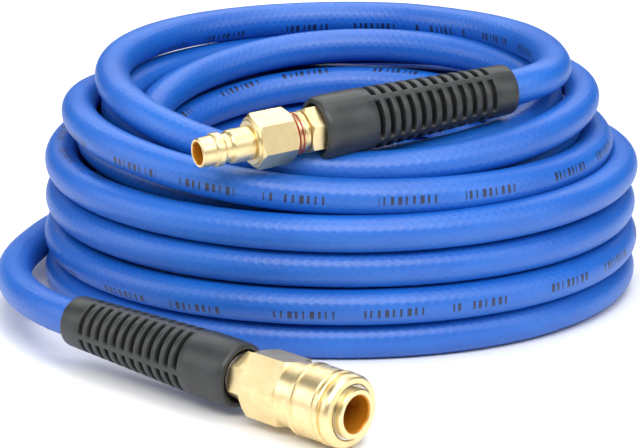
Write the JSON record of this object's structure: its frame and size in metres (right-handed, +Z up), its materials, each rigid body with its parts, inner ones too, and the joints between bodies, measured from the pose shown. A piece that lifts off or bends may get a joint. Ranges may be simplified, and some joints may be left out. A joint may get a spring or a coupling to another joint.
{
  "type": "coiled air hose",
  "caption": "Blue rubber air hose wound in a standing coil, with a brass plug on one end, a brass quick coupler on the other and a slotted bend restrictor at each fitting.",
  "frame": {"origin": "on the floor, below the middle of the whole part's box", "axes": "+Z up along the coil's axis, the coupler towards -Y, the plug's tip towards -X"},
  "size_m": [0.2214, 0.2914, 0.087],
  "materials": {
    "hose_cover": "satin moulded cover, royal blue, faint braid showing through",
    "restrictor_rubber": "matte dark grey moulded rubber",
    "ferrule_steel": "plated, crimped",
    "stem_brass": "machined, satin",
    "thread_sealant": "cured thread sealant, red-brown",
    "plug_brass": "machined and lacquered",
    "coupler_brass": "machined and lacquered",
    "socket_brass": "machined",
    "sleeve_brass": "machined and lacquered",
    "plated_ring": "nickel plated",
    "spring_steel": "drawn wire",
    "seal_rubber": "black nitrile",
    "valve_brass": "machined",
    "ball_steel": "polished steel"
  },
  "bodies": {
    "hose": {"hose_coil": "hose_cover", "hose_plug_tail": "hose_cover", "hose_coupler_tail": "hose_cover", "plug_bend_restrictor": "restrictor_rubber", "coupler_bend_restrictor": "restrictor_rubber", "plug_ferrule": "ferrule_steel", "coupler_ferrule": "ferrule_steel", "plug_hose_stem": "stem_brass", "coupler_hose_stem": "stem_brass", "plug_thread_sealant": "thread_sealant", "coupler_thread_sealant": "thread_sealant", "plug_nipple": "plug_brass", "coupler_rear_body": "coupler_brass", "coupler_socket": "socket_brass", "sleeve_retaining_ring": "plated_ring", "sleeve_spring": "spring_steel", "valve_spring": "spring_steel", "plug_seal": "seal_rubber", "body_joint_seal": "seal_rubber", "valve_spring_seat": "valve_brass"},
    "release_sleeve": {"coupler_sleeve": "sleeve_brass"},
    "valve": {"valve_poppet": "valve_brass", "valve_seal": "seal_rubber"},
    "ball_1": {"locking_ball_1": "ball_steel"},
    "ball_2": {"locking_ball_2": "ball_steel"},
    "ball_3": {"locking_ball_3": "ball_steel"},
    "ball_4": {"locking_ball_4": "ball_steel"},
    "ball_5": {"locking_ball_5": "ball_steel"},
    "ball_6": {"locking_ball_6": "ball_steel"}
  },
  "joints": [
    {"name": "sleeve_slide", "type": "slide", "parent": "hose", "child": "release_sleeve", "axis": [-0.7429, 0.6689, 0.0262], "range_m": [0, 0.004], "stiffness_N_per_m": 3000, "springref_m": -0.003, "deforming": ["sleeve_spring"]},
    {"name": "valve_slide", "type": "slide", "parent": "hose", "child": "valve", "axis": [-0.7429, 0.6689, 0.0262], "range_m": [0, 0.0026], "stiffness_N_per_m": 1200, "springref_m": -0.003, "deforming": ["valve_spring"]},
    {"name": "ball_1_slide", "type": "slide", "parent": "hose", "child": "ball_1", "axis": [-0.5698, -0.6523, 0.4998], "range_m": [0, 0.00086]},
    {"name": "ball_2_slide", "type": "slide", "parent": "hose", "child": "ball_2", "axis": [0.0195, -0.0175, 0.9997], "range_m": [0, 0.00086]},
    {"name": "ball_3_slide", "type": "slide", "parent": "hose", "child": "ball_3", "axis": [0.5892, 0.6348, 0.4998], "range_m": [0, 0.00086]},
    {"name": "ball_4_slide", "type": "slide", "parent": "hose", "child": "ball_4", "axis": [0.5698, 0.6523, -0.4998], "range_m": [0, 0.00086]},
    {"name": "ball_5_slide", "type": "slide", "parent": "hose", "child": "ball_5", "axis": [-0.0195, 0.0175, -0.9997], "range_m": [0, 0.00086]},
    {"name": "ball_6_slide", "type": "slide", "parent": "hose", "child": "ball_6", "axis": [-0.5892, -0.6348, -0.4998], "range_m": [0, 0.00086]}
  ],
  "couplings": [
    {"joint": "ball_1_slide", "follows": "sleeve_slide", "ratio": 0.2125},
    {"joint": "ball_2_slide", "follows": "sleeve_slide", "ratio": 0.2125},
    {"joint": "ball_3_slide", "follows": "sleeve_slide", "ratio": 0.2125},
    {"joint": "ball_4_slide", "follows": "sleeve_slide", "ratio": 0.2125},
    {"joint": "ball_5_slide", "follows": "sleeve_slide", "ratio": 0.2125},
    {"joint": "ball_6_slide", "follows": "sleeve_slide", "ratio": 0.2125}
  ]
}
